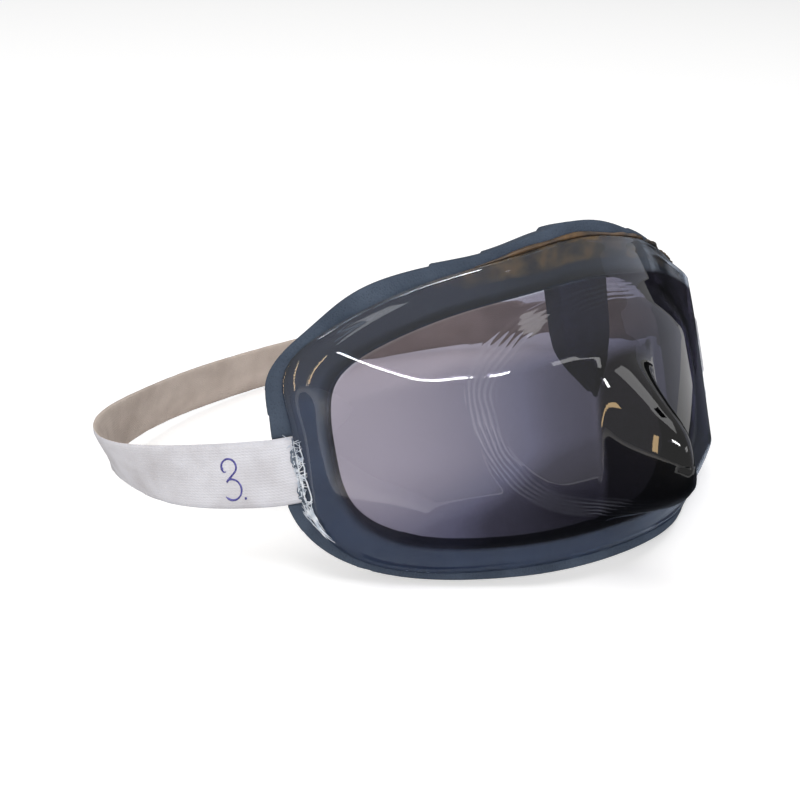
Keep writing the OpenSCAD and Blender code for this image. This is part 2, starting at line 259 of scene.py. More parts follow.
# -------- meshes
def make(name, points, faces, uv=None, values=None, flat=0):
    """A smooth mesh object from points in metres, with a UV per point and named values per point.
    The last flat faces stay flat."""
    mesh = bpy.data.meshes.new(name)
    mesh.from_pydata(np.asarray(points).reshape(-1, 3).tolist(), [], faces)
    mesh.polygons.foreach_set("use_smooth", np.arange(len(faces)) < len(faces) - flat)
    solid = bmesh.new()
    solid.from_mesh(mesh)
    if solid.calc_volume(signed=True) < 0:
        mesh.flip_normals()
    solid.free()
    corner = np.empty(len(mesh.loops), np.int32)
    mesh.loops.foreach_get("vertex_index", corner)
    if uv is not None:
        layer = mesh.uv_layers.new(name="cloth")
        layer.data.foreach_set("uv", np.asarray(uv, np.float32).reshape(-1, 2)[corner].ravel())
    for key, value in (values or {}).items():
        layer = mesh.attributes.new(key, "FLOAT", "POINT")
        layer.data.foreach_set("value", np.asarray(value, np.float32).ravel())
    mesh.update()
    piece = bpy.data.objects.new(name, mesh)
    bpy.context.scene.collection.objects.link(piece)
    return piece


def quads(rows, columns, close_rows, close_columns):
    """Faces of a grid with index row * columns + column, joined to itself where it closes."""
    r = np.arange(rows if close_rows else rows - 1)[:, None]
    c = np.arange(columns if close_columns else columns - 1)[None, :]
    below, beside = (r + 1) % rows, (c + 1) % columns
    corners = [r * columns + c, r * columns + beside, below * columns + beside, below * columns + c]
    return np.stack(corners, -1).reshape(-1, 4).tolist()


def tube(name, points, uv=None, values=None):
    """Closed skin of a grid of cross sections (sections, ring, 3), each end filled by a face."""
    n, m = points.shape[:2]
    ends = [list(range(m))[::-1], list(range((n - 1) * m, n * m))]
    return make(name, points, quads(n, m, False, True) + ends, uv, values, flat=2)


def ring(name, points, values=None):
    """Closed skin of a grid of cross sections that returns to its start."""
    n, m = points.shape[:2]
    return make(name, points, quads(n, m, True, True), values=values)


# -------- moulded shell
VISOR_AROUND, FACE_ROWS, BACK_ROWS = 420, 122, 60
# Share of the way from opening to rim, and how far the rounded rim has dropped there.
FLANGE_FACE = ((0.1, 0), (0.2, 0), (0.3, 0), (0.4, 0), (0.5, 0), (0.6, 0), (0.7, 0), (0.8, 0),
               (0.88, 0), (0.93, 0), (0.965, 0.06), (0.988, 0.25), (1.0, 0.6))
FLANGE_BACK = (1.0, 0.97, 0.85, 0.7, 0.55, 0.4, 0.2, 0.0)


def visor():
    """Rows of closed outlines run from the nose tip out over the pane and flange to a rounded rim,
    and back along the inner face to the nose tip. Each row lies a share of the way from the tip to
    the opening, or from the opening to the rim, and its height is shell_height."""
    n = VISOR_AROUND
    angle = np.linspace(0, CIRCLE, n, endpoint=False)
    opening, rim = outline(OPENING, angle), outline(RIM, angle)
    face = np.linspace(0, 1, FACE_ROWS)[1:] ** 0.93  # a little closer towards the opening
    back = np.linspace(1, 0, BACK_ROWS)[1:-1]
    flange, drop = np.array(FLANGE_FACE).T
    stretches = (between(NOSE_TIP, opening, face), between(opening, rim, flange),
                 between(opening, rim, FLANGE_BACK), between(NOSE_TIP, opening, back))
    s, h = (np.concatenate(rows) for rows in zip(*stretches))
    m = len(s)
    sheet = np.zeros(m)
    sheet[:len(face)] = SHELL_T
    sheet[len(face):len(face) + len(drop)] = SHELL_T - drop
    points = on_mask(s, h, FILM_T + sheet[:, None] + shell_height(s, h))
    tip_s, tip_h = np.full(2, NOSE_TIP[0]), np.full(2, NOSE_TIP[1])
    tips = on_mask(tip_s, tip_h, FILM_T + np.array([SHELL_T, 0]) + shell_height(tip_s, tip_h))
    # a fan of triangles closes each face at the nose tip
    here = np.arange(n)
    beside, last = (here + 1) % n, (m - 1) * n
    faces = quads(m, n, False, True)
    faces += np.stack([beside, here, 0 * here + m * n], -1).tolist()
    faces += np.stack([last + here, last + beside, 0 * here + m * n + 1], -1).tolist()
    # painted light: share of the sheet over the flange that is painted palest
    flange_painted_light = ease((share_out(OPENING, s, h) - 0.985) / 0.03)
    values = {"reach": np.append(dome_reach(s, h), [0.5, 0.5]),
              # depth of the tint, with painted shade and painted light in it
              "deep": np.append(dye_and_painted_shade(s, h), [1, 1]),
              "flange": np.append(flange_painted_light, [0, 0])}
    return make("tinted_visor", np.concatenate([points.reshape(-1, 3), tips]), faces, values=values)


# -------- foam gasket
KNIFE_STROKES, DEEPEST_CUT, PROUDEST_CUT = 26, -0.9, 0.8
# Foam left on beyond the line at the left top corner and the brow: direction, width, height.
LEFT_ON = ((123, 15, 4.2), (90, 7, 1.2))
FOAM_WEAR, STRAP_PRESS = 0.14, 1.1  # depth of the worn hills, and of the bed under the strap
FOAM_AROUND = 960
# Cross section of the ring: share of the way from opening to outer edge, and depth.
RING_SECTION = ((-0.02, 0.0), (0.25, 0.0), (0.5, 0.0), (0.75, 0.0), (0.96, 0.0), (0.985, -0.12),
                (1.0, -0.45), (1.0, -2.5), (1.003, -4.5), (1.0, -6.5), (1.0, -8.5), (0.985, -8.88),
                (0.96, -9.0), (0.6, -9.0), (0.25, -9.0), (0.02, -9.0), (-0.02, -8.85),
                (-0.035, -8.3), (-0.06, -6.0), (-0.065, -4.5), (-0.06, -3.0), (-0.045, -0.6),
                (-0.035, -0.15))
# Cross section of the tongue: share of its half width, and depth.
TONGUE_SECTION = ((-1, -0.9), (-0.97, -0.45), (-0.9, -0.25), (-0.5, -0.18), (0, -0.16),
                  (0.5, -0.18), (0.9, -0.25), (0.97, -0.45), (1, -0.9), (1.02, -4.5), (1, -8.2),
                  (0.93, -8.9), (0, -9.0), (-0.93, -8.9), (-1, -8.2), (-1.02, -4.5))
TONGUE_TIP, TONGUE_ROOT, TONGUE_LEAN = 2.6, 38.0, -2.8


def cut_edge(angle):
    """Small strokes of a knife round the foam's outer edge: a saw of unequal steps, most along
    the top. Each stroke runs evenly from its own depth to a share of the next one's."""
    dice = np.random.default_rng(7)
    marks = np.sort(dice.uniform(0, CIRCLE, KNIFE_STROKES))
    depth = dice.uniform(DEEPEST_CUT, PROUDEST_CUT, KNIFE_STROKES)
    slot = np.searchsorted(marks, angle) % KNIFE_STROKES
    start, end = marks[slot - 1], marks[slot]
    along = ((angle - start) % CIRCLE) / np.maximum((end - start) % CIRCLE, 1e-6)
    stroke = depth[slot - 1] * (1 - along) + depth[slot] * along * 0.3
    return stroke * (0.35 + 0.65 * ease(np.sin(angle) * 1.6))


def foam_ring():
    """Cross section of the sheet, carried round the outline: flat front and back, knife cut outer
    edge, softened arrises, and an inner edge that bulges a little. The front is worn by low hills
    and pressed in under the strap."""
    angle = np.linspace(0, CIRCLE, FOAM_AROUND, endpoint=False)
    outer_s, outer_h = outline(FOAM_EDGE, angle)
    inner_s, inner_h = outline(OPENING, angle)
    way = np.degrees(angle)
    stroke = cut_edge(angle) + bells(way, LEFT_ON)
    stroke = (stroke / np.hypot(outer_s - inner_s, outer_h - inner_h))[:, None]
    share, off = np.array(RING_SECTION).T[:, None]
    outside = ease((share - 0.9) / 0.1)
    s = inner_s[:, None] + (outer_s - inner_s)[:, None] * (share + outside * stroke)
    h = inner_h[:, None] + (outer_h - inner_h)[:, None] * (share + outside * stroke)
    wear = FOAM_WEAR * hills(s, h, 11, 14) * (1 - outside * 0.5)
    under_strap = ease((STRAP_W / 2 + 1 - abs(h + STRAP_DROP)) / 1.2)
    pressed = STRAP_PRESS * under_strap * ease((abs(s) - RIM.half_width + 8) / 4)
    front = np.where(off > -0.6, -abs(wear) * (share > 0.4) - pressed, wear * 0.5)
    return ring("foam_ring", on_mask(s, h, off + front)[:, ::-1])


def foam_tongue():
    """Nose bridge tongue: a slab between rounded edges whose half width grows almost evenly from
    its tip, knife cut thinner there, and which leans a little to the left."""
    along = np.linspace(0, 1, 60)[:, None] ** 1.6
    run = (TONGUE_ROOT - TONGUE_TIP) * along
    half = soft_min(0.35 + 0.66 * run, 8.6 + 0.03 * run, 4.0)
    share, depth = np.array(TONGUE_SECTION).T[:, None]
    s = TONGUE_LEAN * (1 - along) ** 1.2 + half * share
    return tube("foam_tongue", on_mask(s, TONGUE_TIP + run, depth * (0.22 + 0.78 * ease(run / 15))))


# -------- glue
BEAD_FROM, BEAD_TO = 19.5, 100.5  # degrees round the rim
BEAD_W, BEAD_H = 2.4, 1.6
# Cross section of the film: share of the way from opening to rim, and height.
FILM_SECTION = ((1.0, 0.42), (0.75, 0.42), (0.5, 0.42), (0.25, 0.42), (0.0, 0.42), (0.0, 0.0),
                (0.5, 0.0), (1.0, 0.0))


def glue_film():
    """Thin ring of contact adhesive between foam and flange: a flat section from the opening to the
    rim, thick and amber to the right of the top, and darkened towards the top by painted shade."""
    angle = np.linspace(0, CIRCLE, 480, endpoint=False)
    share, off = np.array(FILM_SECTION).T[:, None]
    s, h = (a[:, None] + (b - a)[:, None] * share
            for a, b in zip(outline(OPENING, angle), outline(RIM, angle)))
    way = np.degrees(angle)[:, None]
    amber = ease((way - 4) / 20) * ease((118 - way) / 30) * ease((share - 0.3) / 0.35)
    # painted shade: the film darkens towards the top
    return ring("glue_film", on_mask(s, h, off), {"amber": amber, "painted_top_shade": ease((h - 10) / 18)})


def glue_bead():
    """Ridge of set glue squeezed out along the rim: a half round whose size wanders."""
    degrees = np.linspace(BEAD_FROM, BEAD_TO, 420)
    rim_s, rim_h = outline(RIM, np.radians(degrees))
    foam_s, foam_h = outline(FOAM_EDGE, np.radians(degrees))
    away = np.hypot(foam_s - rim_s, foam_h - rim_h)
    wander = 0.72 + 0.3 * hills(degrees, 0 * degrees, 3, 11, 4)
    ends = ease((degrees - BEAD_FROM) / 5) * ease((BEAD_TO - degrees) / 5)
    room = np.minimum(1, (away - 0.05) / BEAD_W)
    wide = np.clip(BEAD_W * wander, 0.3, 2.4) * room * (0.25 + 0.75 * ends)
    high = np.clip(BEAD_H * wander, 0.2, 1.7) * (0.2 + 0.8 * ends)
    turn = np.linspace(0, math.pi, 9)
    across = (0.5 - 0.5 * np.cos(turn))[None, :] * wide[:, None] + 0.02
    up = np.sin(turn)[None, :] ** 0.8 * high[:, None] + 0.03
    s = rim_s[:, None] + ((foam_s - rim_s) / away)[:, None] * across
    h = rim_h[:, None] + ((foam_h - rim_h) / away)[:, None] * across
    return tube("glue_bead", on_mask(s, h, up)[:, ::-1])


# -------- strap
LEAN_BEHIND = math.radians(-15)  # the strap leans forward at the back of the loop
LEAN_RUN = 95.0  # length of strap over which it turns from the mask's lean to that
LOWEST = 0.02  # height over the table under which no part of the strap goes
# At its two turns the loop is drawn in and the strap splays: loop angle, width, amount.
DRAWN_IN = ((6, 28, 0.018), (194, 18, 0.05))
SPLAYED = ((4, 26, 0.42), (176, 30, 0.2))
END_RING = 0.012  # distance of the ring next to each end of a band
SELVEDGE = 0.06  # share of the half width over which the edge is rounded
# The pen's figure: its distance from the foam's end and below the strap's middle, and squeeze.
INK_AT, INK_LOW, INK_SQUEEZE = 12.8, 0.8, 0.84


def loop(a):
    """Centre line of the strap at loop angle a in radians, 0 at the far left: an ellipse that
    leaves the mask's straight sides and falls to the table, drawn in a little at both turns."""
    turn = np.degrees(a)
    x = -LOOP_A * np.cos(a) * (1 - bells(turn, DRAWN_IN))
    y = LOOP_B * (LOOP_RISE + np.sin(a))
    return np.stack([x, HINGE_Y + y * math.cos(FALL), HINGE_Z - y * math.sin(FALL)], -1)


def read_off(at, row, values):
    """Values of a row of points or directions, read off at lengths between its own."""
    return np.stack([np.interp(at, row, values[:, k]) for k in range(3)], -1)


def strap_line():
    """The whole strap as one row: length from its left tucked end, centre, width direction and
    outward direction. It lies on the foam at both ends and follows the loop between. The row is
    evened over 2 mm, so that the pieces cut from it meet without a step."""
    start = -math.asin(LOOP_RISE)
    a = np.linspace(start, math.pi - start, 6001)
    line = loop(a)
    run = np.concatenate([[0], np.cumsum(np.linalg.norm(np.diff(line, axis=0), axis=1))])
    free = run[-1]
    row = np.linspace(0, free + 2 * ON_FOAM, 3601)
    out = np.clip(row - ON_FOAM, 0, free)
    centre, ang = read_off(out, run, line), np.degrees(np.interp(out, run, a))
    lift = 0.28 * ease((row - STRAP_TUCK) / 3) * ease((ON_FOAM + 6 - row) / 5)
    along_foam = -(RIM.half_width - STRAP_TUCK + np.minimum(row, ON_FOAM))
    flat = wrapped(along_foam, -STRAP_DROP, -STRAP_T / 2 - 0.1 + lift) + SHIFT
    centre = np.where((row < ON_FOAM)[:, None], flat, centre)
    centre = np.where((row > free + ON_FOAM)[:, None], flat[::-1] * np.array([-1, 1, 1]), centre)
    # the width direction turns from the mask's lean to leaning forward, and splays at the turns
    share = ease(out / LEAN_RUN) * ease((free - out) / LEAN_RUN)
    lean = LEAN * (1 - share) + LEAN_BEHIND * share
    wide = np.stack([-bells(ang, SPLAYED), np.sin(lean), np.cos(lean)], -1)
    near = bells(np.arange(-24, 25), [(0, 10, 1)])
    near /= near.sum()
    for _ in range(2):
        padded = np.concatenate([2 * centre[:1] - centre[24:0:-1], centre,
                                 2 * centre[-1:] - centre[-2:-26:-1]])
        centre = np.stack([np.convolve(padded[:, k], near, "valid") for k in range(3)], -1)
    tangent = np.gradient(centre, row, axis=0)
    tangent /= np.linalg.norm(tangent, axis=1)[:, None]
    wide -= (wide * tangent).sum(1)[:, None] * tangent
    wide /= np.linalg.norm(wide, axis=1)[:, None]
    return row, centre, wide, np.cross(wide, tangent)


STRAP_ROW, *STRAP_FRAME = strap_line()
WHOLE = STRAP_ROW[-1]


def ribbon(name, length, count):
    """Woven band: a flat section with rounded selvedges carried along the strap, its length and
    width as UV. A ring close to each end keeps the end face out of the cloth's shading."""
    u = np.linspace(length[0], length[1], count)
    u[1], u[-2] = u[0] + END_RING, u[-1] - END_RING
    centre, wide, outward = (read_off(u, STRAP_ROW, row)[:, None] for row in STRAP_FRAME)
    across = np.concatenate([np.linspace(-1, 1, 15), np.linspace(1, -1, 15)])
    side = np.concatenate([np.ones(15), -np.ones(15)])
    selvedge = 1 - (np.maximum(abs(across) - 1 + SELVEDGE, 0) / SELVEDGE) ** 2
    thick = side * np.sqrt(np.clip(selvedge, 0.02, 1)) * STRAP_T / 2
    ripple = 0.10 * hills(u[:, None], 10 * across[None, :], 5, 17)
    width = across * STRAP_W / 2
    points = centre + wide * width[None, :, None] + outward * (thick + ripple)[:, :, None]
    points[:, :, 2] = np.maximum(points[:, :, 2], LOWEST)
    uv = np.stack(np.broadcast_arrays(u[:, None], width[None, :]), -1) * MM
    return tube(name, points * MM, uv, {"inner": np.repeat((side < 0)[None, :], count, 0)})


def on_strap(u, w, out):
    """Point in metres at length u and height w on the left strap's outer face, out above it."""
    centre, wide, outward = (read_off(u, STRAP_ROW, row) for row in STRAP_FRAME)
    return (centre + wide * w[..., None] + outward * (STRAP_T / 2 + out)[..., None]) * MM


def pen_stroke(name, right, up, width):
    """A flat line of ink: four points across a path on the strap, a little proud of the cloth,
    whose width swells from its start and wanders."""
    run = np.concatenate([[0], np.cumsum(np.hypot(np.diff(right), np.diff(up)))])
    at = np.linspace(0, run[-1], 110)
    right, up = np.interp(at, run, right), np.interp(at, run, up)
    go = np.stack([np.gradient(right), np.gradient(up)], -1)
    go /= np.linalg.norm(go, axis=1)[:, None]
    pressed = 0.35 + 0.65 * ease(at / 1.5) * ease((run[-1] - at) / 1.2)
    half = width / 2 * pressed * (1 + 0.12 * hills(at, 0 * at, 21, 4))
    side = np.array([-1, 1, 1, -1])[None, :]
    x = right[:, None] - go[:, 1:] * side * half[:, None]
    y = up[:, None] + go[:, :1] * side * half[:, None]
    proud = np.broadcast_to(np.array([0.06, 0.06, -0.12, -0.12])[None, :], x.shape)
    return tube(name, on_strap(ON_FOAM + INK_AT - INK_SQUEEZE * x, y - INK_LOW, proud + 0.04))


def numeral():
    """A plain three in pen: a hooked upper bowl, a stroke down to the waist and a wider lower
    bowl, all arcs of circles."""
    hook = np.radians(np.linspace(-60, -215, 12))
    top = np.radians(np.linspace(205, -35, 40))
    low = np.radians(np.linspace(108, -140, 46))
    right = np.concatenate([-1.9 + 0.9 * np.cos(hook), -0.4 + 2.6 * np.cos(top), [-1.7],
                            0.1 + 3.3 * np.cos(low)])
    up = np.concatenate([3.1 + 0.9 * np.sin(hook), 3.7 + 2.5 * np.sin(top), [-0.9],
                         -3.2 + 3.2 * np.sin(low)])
    return pen_stroke("ink_numeral", right, up, 0.62)


def full_stop():
    """A dot of ink after the numeral: a small closed circle drawn with a wide stroke."""
    turn = np.linspace(0, CIRCLE, 24)
    return pen_stroke("ink_dot", 4.6 + 0.2 * np.cos(turn), -6.0 + 0.2 * np.sin(turn), 1.0)


# -------- threads and smears
THREAD_SIDES = 5


def strands(name, s, h, off, radius):
    """Many closed threads in one mesh: five points round each path in the mask's coordinates."""
    count, long = s.shape
    go = np.stack([np.gradient(s, axis=1), np.gradient(h, axis=1)], -1)
    go /= np.maximum(np.linalg.norm(go, axis=2), 1e-6)[..., None]
    turn = np.arange(THREAD_SIDES) * CIRCLE / THREAD_SIDES
    sideways, up = np.cos(turn) * radius[..., None], np.sin(turn) * radius[..., None]
    points = on_mask(s[..., None] - go[..., 1:] * sideways, h[..., None] + go[..., :1] * sideways,
                     off[..., None] + up)
    first = (np.arange(count) * long * THREAD_SIDES)[:, None, None]
    skin = np.array(quads(long, THREAD_SIDES, False, True)) + first
    ring_of = np.arange(THREAD_SIDES)
    ends = np.stack([ring_of[::-1], (long - 1) * THREAD_SIDES + ring_of]) + first
    faces = skin.reshape(-1, 4).tolist() + ends.reshape(-1, THREAD_SIDES).tolist()
    return make(name, points, faces)


def rim_at(h):
    """How far out the plastic's rim lies at height h."""
    up = np.minimum(abs(h - RIM.middle) / RIM.half_height, 1)
    return RIM.half_width * (1 - up ** RIM.power) ** (1 / RIM.power)


def frayed_threads(name, hand):
    """Loose warp ends along the rim: long ones that wander along it, short ones across it, and a
    combed tuft below the strap. hand is -1 on the left and 1 on the right."""
    dice = np.random.default_rng(31 if hand < 0 else 47)
    t = np.linspace(0, 1, 14)[None, :]
    # long ends wander along the rim
    n = 9
    top, low = dice.uniform(-2, 6.5, n)[:, None], dice.uniform(-16, -9, n)[:, None]
    h1 = top + (low - top) * t
    s1 = rim_at(h1) - 1.7 + dice.uniform(0, 2.9, n)[:, None]
    s1 = s1 + 0.4 * hills(h1, 9.0 * np.arange(n)[:, None], 5, 3)
    o1 = 0.32 + 0.15 * hills(h1, 7.0 * np.arange(n)[:, None], 8, 4)
    # short ends across
    m = 60
    h2 = dice.uniform(-13.0, 6.8, m)[:, None] + dice.normal(0, 1.3, m)[:, None] * t
    s2 = rim_at(h2) - dice.uniform(0.0, 2.3, m)[:, None] + dice.uniform(1.2, 3.0, m)[:, None] * t
    o2 = 0.1 + dice.uniform(0.1, 0.6, m)[:, None] * np.sin(math.pi * t)
    # the tuft
    k = 34
    start = dice.uniform(-15.5, -12.6, k)[:, None]
    h3 = start - dice.uniform(3, 10.5, k)[:, None] * t
    s3 = rim_at(h3) - 1.4 + dice.uniform(0.0, 3.6, k)[:, None] * (1 - t)
    s3 = s3 + dice.uniform(0, 1.4, k)[:, None] * t
    s3 = s3 + 0.16 * hills(h3, 5.0 * np.arange(k)[:, None], 12, 3)
    o3 = 0.08 + dice.uniform(0.1, 0.6, k)[:, None] * np.sin(math.pi * np.minimum(t * 0.9 + 0.05, 1))
    s, h, off = (np.concatenate(v) for v in ((s1, s2, s3), (h1, h2, h3), (o1, o2, o3)))
    thick = np.concatenate([dice.uniform(0.16, 0.26, n), dice.uniform(0.09, 0.15, m),
                            dice.uniform(0.1, 0.19, k)])
    radius = thick[:, None] * np.sqrt(np.sin(math.pi * (0.04 + 0.92 * t)))
    # each lies on the foam beyond the rim and on the plastic inside it
    off = off + (FILM_T + SHELL_T + 0.06) * ease((rim_at(h) - s + 0.35) / 0.6)
    return strands(name, hand * s, h, off, radius)


def glue_smear(name, hand):
    """Dried white glue by the rim: a thin skin on a grid whose outer edge wanders, thicker at the
    strap's foot."""
    h = np.linspace(7.0, -23.5, 90)[:, None]
    wander = 1.3 + 0.8 * hills(h, 0 * h, 17 if hand < 0 else 29, 7, 4)
    reach = np.clip(wander, 0.35, 2.6) * (1 - 0.75 * ease((-17 - h) / 6))
    reach = reach * (0.35 + 0.65 * ease((7 - h) / 5))
    # out along the skin's face and back under it
    share = np.concatenate([np.linspace(0, 1, 9), np.linspace(1, 0, 5)[1:]])[None, :]
    under = np.arange(share.size)[None, :] >= 9
    s = rim_at(h) + 0.12 + reach * share
    skin = 0.32 * np.sqrt(np.maximum(1 - share ** 2, 0.0)) + 0.12 * hills(s, h, 23, 1.6)
    base = np.where(h > -STRAP_DROP - 10.4, 0.22, 0.0)
    off = np.where(under, base - 0.15, base + np.maximum(skin, 0.03))
    points = on_mask(hand * s, h + 0 * s, off)
    return tube(name, points if hand < 0 else points[:, ::-1])


# -------- material tools
def linear(hex_colour):
    """Turn an sRGB hex colour into linear red, green, blue and alpha."""
    parts = [int(hex_colour[i:i + 2], 16) / 255 for i in (1, 3, 5)]
    return *(c / 12.92 if c <= 0.04045 else ((c + 0.055) / 1.055) ** 2.4 for c in parts), 1.0


def add(tree, kind, links=(), **settings):
    """A new node: settings are its properties or inputs by name, links (input, node, output)."""
    node = tree.nodes.new(kind)
    for key, value in settings.items():
        if hasattr(node, key):
            setattr(node, key, value)
        else:
            node.inputs[key.replace("_", " ")].default_value = value
    for socket, source, output in links:
        tree.links.new(source.outputs[output], node.inputs[socket])
    return node


def own_place(tree):
    """The link that gives a texture a piece's own coordinates, in metres."""
    return [("Vector", add(tree, "ShaderNodeTexCoord"), "Object")]


def finish(name, **settings):
    """A new Principled material and its tree."""
    material = bpy.data.materials.new(name)
    material.use_nodes = True
    tree = material.node_tree
    surface = tree.nodes["Principled BSDF"]
    for key, value in settings.items():
        surface.inputs[key.replace("_", " ")].default_value = value
    return material, tree, surface


def feed(tree, surface, colour=None, bump=None):
    """Link a colour and a bump to the surface."""
    if colour:
        tree.links.new(colour.outputs["Color"], surface.inputs["Base Color"])
    if bump:
        tree.links.new(bump.outputs["Normal"], surface.inputs["Normal"])


def ramp(tree, source, output, stops):
    """Colour ramp over a node's output, from (position, hex colour) stops."""
    node = add(tree, "ShaderNodeValToRGB", [("Fac", source, output)])
    while len(node.color_ramp.elements) < len(stops):
        node.color_ramp.elements.new(0.5)
    for element, (place, colour) in zip(node.color_ramp.elements, stops):
        element.position = place
        element.color = linear(colour)
    return node


def scaled(tree, source, output, factor, plus=None):
    """A node's output times a factor, with another output added."""
    node = add(tree, "ShaderNodeMath", [(0, source, output)],
               operation="MULTIPLY_ADD" if plus else "MULTIPLY")
    node.inputs[1].default_value = factor
    if plus:
        tree.links.new(plus[0].outputs[plus[1]], node.inputs[2])
    return node


def wave(tree, source, output, length):
    """Sine of a node's output, one wave in each length."""
    turned = scaled(tree, source, output, CIRCLE / length)
    return add(tree, "ShaderNodeMath", [(0, turned, "Value")], operation="SINE")


def product(tree, a, a_output, b, b_output):
    """One node's output times another's."""
    return add(tree, "ShaderNodeMath", [(0, a, a_output), (1, b, b_output)], operation="MULTIPLY")


# -------- materials
# A texture's scale is features in a metre: 1000 / scale is their size in millimetres.
RING_SPACING = 0.034  # of the drawing rings, in shares of the dome's reach: about 1.4 mm
RIB_SPACING, PICK_SPACING = 0.0009, 0.0011  # of the elastic's threads, in metres


def tinted_pet():
    """Clear PET sheet dyed smoke violet and vacuum formed: glossy and see-through, with faint rings
    where it was drawn down, bumped and painted paler as painted highlights. Its dye carries painted
    shade and light, and the sheet over the flange is painted palest as painted light. The eye gets
    one sharp highlight along each crease."""
    material, tree, surface = finish(
        "tinted_pet_sheet", Roughness=0.02, IOR=1.5, Specular_IOR_Level=0.16,
        Transmission_Weight=1.0)
    here = own_place(tree)
    haze = add(tree, "ShaderNodeTexNoise", here, Scale=28.0, Detail=3.0)
    # the dye with its painted shade and light, made cloudy by the haze, and darker where the sheet
    # is seen at a slant
    # painted shade and light: the tint's depth, read from the mesh
    deep = add(tree, "ShaderNodeAttribute", attribute_name="deep")
    slant = add(tree, "ShaderNodeLayerWeight", Blend=0.5)
    cloudy = scaled(tree, haze, "Fac", 0.05, plus=(deep, "Fac"))
    dye = ramp(tree, cloudy, "Value",
               [(0.0, "#98929f"), (0.5, "#626276"), (0.62, "#403f4c"), (1.0, "#141318")])
    path = ramp(tree, slant, "Facing",
                [(0.05, "#ffffff"), (0.25, "#cdcdd3"), (0.5, "#71718a"), (0.8, "#3c3d4e")])
    shade = add(tree, "ShaderNodeMixRGB", [("Color1", dye, "Color"), ("Color2", path, "Color")],
                blend_type="MULTIPLY", Fac=1.0)
    # rings: sine waves of the dome's own measure, kept to its edge and broken up
    reach = add(tree, "ShaderNodeAttribute", attribute_name="reach")
    patch = add(tree, "ShaderNodeTexNoise", here, Scale=60.0, Detail=1.0)
    bent = scaled(tree, patch, "Fac", 0.10, plus=(reach, "Fac"))
    rings = wave(tree, bent, "Value", RING_SPACING)
    edge = ramp(tree, reach, "Fac",
                [(0.80, "#000000"), (0.86, "#ffffff"), (1.0, "#ffffff"), (1.04, "#000000")])
    broken = ramp(tree, haze, "Fac", [(0.42, "#2a2a2a"), (0.62, "#ffffff")])
    drawn = product(tree, product(tree, rings, "Value", edge, "Color"), "Value", broken, "Color")
    # painted highlight: each ring and the dome's edge band are painted paler than the sheet round
    # them
    lines = scaled(tree, drawn, "Value", 0.8, plus=(scaled(tree, edge, "Color", 0.2), "Value"))
    ring_painted_highlight = ramp(tree, lines, "Value", [(0.0, "#000000"), (1.0, "#6e6e6e")])
    ring_highlighted = add(tree, "ShaderNodeMixRGB", [("Fac", ring_painted_highlight, "Color"), ("Color1", shade, "Color")],
                 Color2=linear("#c8ccd8"))
    # painted light: the undrawn sheet over the flange is painted palest, so that the foam under it
    # looks lit
    flange = add(tree, "ShaderNodeAttribute", attribute_name="flange")
    whole = add(tree, "ShaderNodeMixRGB", [("Fac", flange, "Fac"), ("Color1", ring_highlighted, "Color")],
                Color2=linear("#bcc6d6"))
    # the rings stand out by hundredths of a millimetre on the slow waves of a formed sheet
    bump = add(tree, "ShaderNodeBump", [("Height", drawn, "Value")], Strength=1.0,
               Distance=0.000018)
    slow = add(tree, "ShaderNodeTexNoise", here, Scale=22.0, Detail=0.0)
    both = add(tree, "ShaderNodeBump", [("Height", slow, "Fac"), ("Normal", bump, "Normal")],
               Strength=1.0, Distance=0.0009)
    feed(tree, surface, whole, both)
    # the lamps shine through the sheet on what lies under it
    rays = add(tree, "ShaderNodeLightPath")
    through = add(tree, "ShaderNodeBsdfTransparent", Color=linear("#b4b0bd"))
    mix = add(tree, "ShaderNodeMixShader",
              [("Fac", rays, "Is Shadow Ray"), (1, surface, "BSDF"), (2, through, "BSDF")])
    tree.links.new(mix.outputs["Shader"], tree.nodes["Material Output"].inputs["Surface"])
    return material


def closed_cell_foam(name, dark, light):
    """Closed cell neoprene foam sheet, split and knife cut: matt, with a fine open grain. The
    cells are drawn 0.7 mm across, coarser than the real 0.3 mm, so that they show."""
    material, tree, surface = finish(name, Roughness=0.92, Specular_IOR_Level=0.25)
    here = own_place(tree)
    cells = add(tree, "ShaderNodeTexVoronoi", here, Scale=1500.0)
    cloud = add(tree, "ShaderNodeTexNoise", here, Scale=70.0, Detail=6.0)
    shade = ramp(tree, cloud, "Fac", [(0.3, dark), (0.7, light)])
    fleck = ramp(tree, cells, "Distance", [(0.05, "#6a6a6a"), (0.35, "#ffffff")])
    tone = add(tree, "ShaderNodeMixRGB", [("Color1", shade, "Color"), ("Color2", fleck, "Color")],
               blend_type="MULTIPLY", Fac=0.35)
    bump = add(tree, "ShaderNodeBump", [("Height", cells, "Distance")], Strength=0.4,
               Distance=0.0003)
    # the knife leaves a coarser tear of about 2 mm
    tear = add(tree, "ShaderNodeTexNoise", here, Scale=420.0, Detail=4.0)
    both = add(tree, "ShaderNodeBump", [("Height", tear, "Fac"), ("Normal", bump, "Normal")],
               Strength=0.35, Distance=0.0006)
    feed(tree, surface, tone, both)
    return material


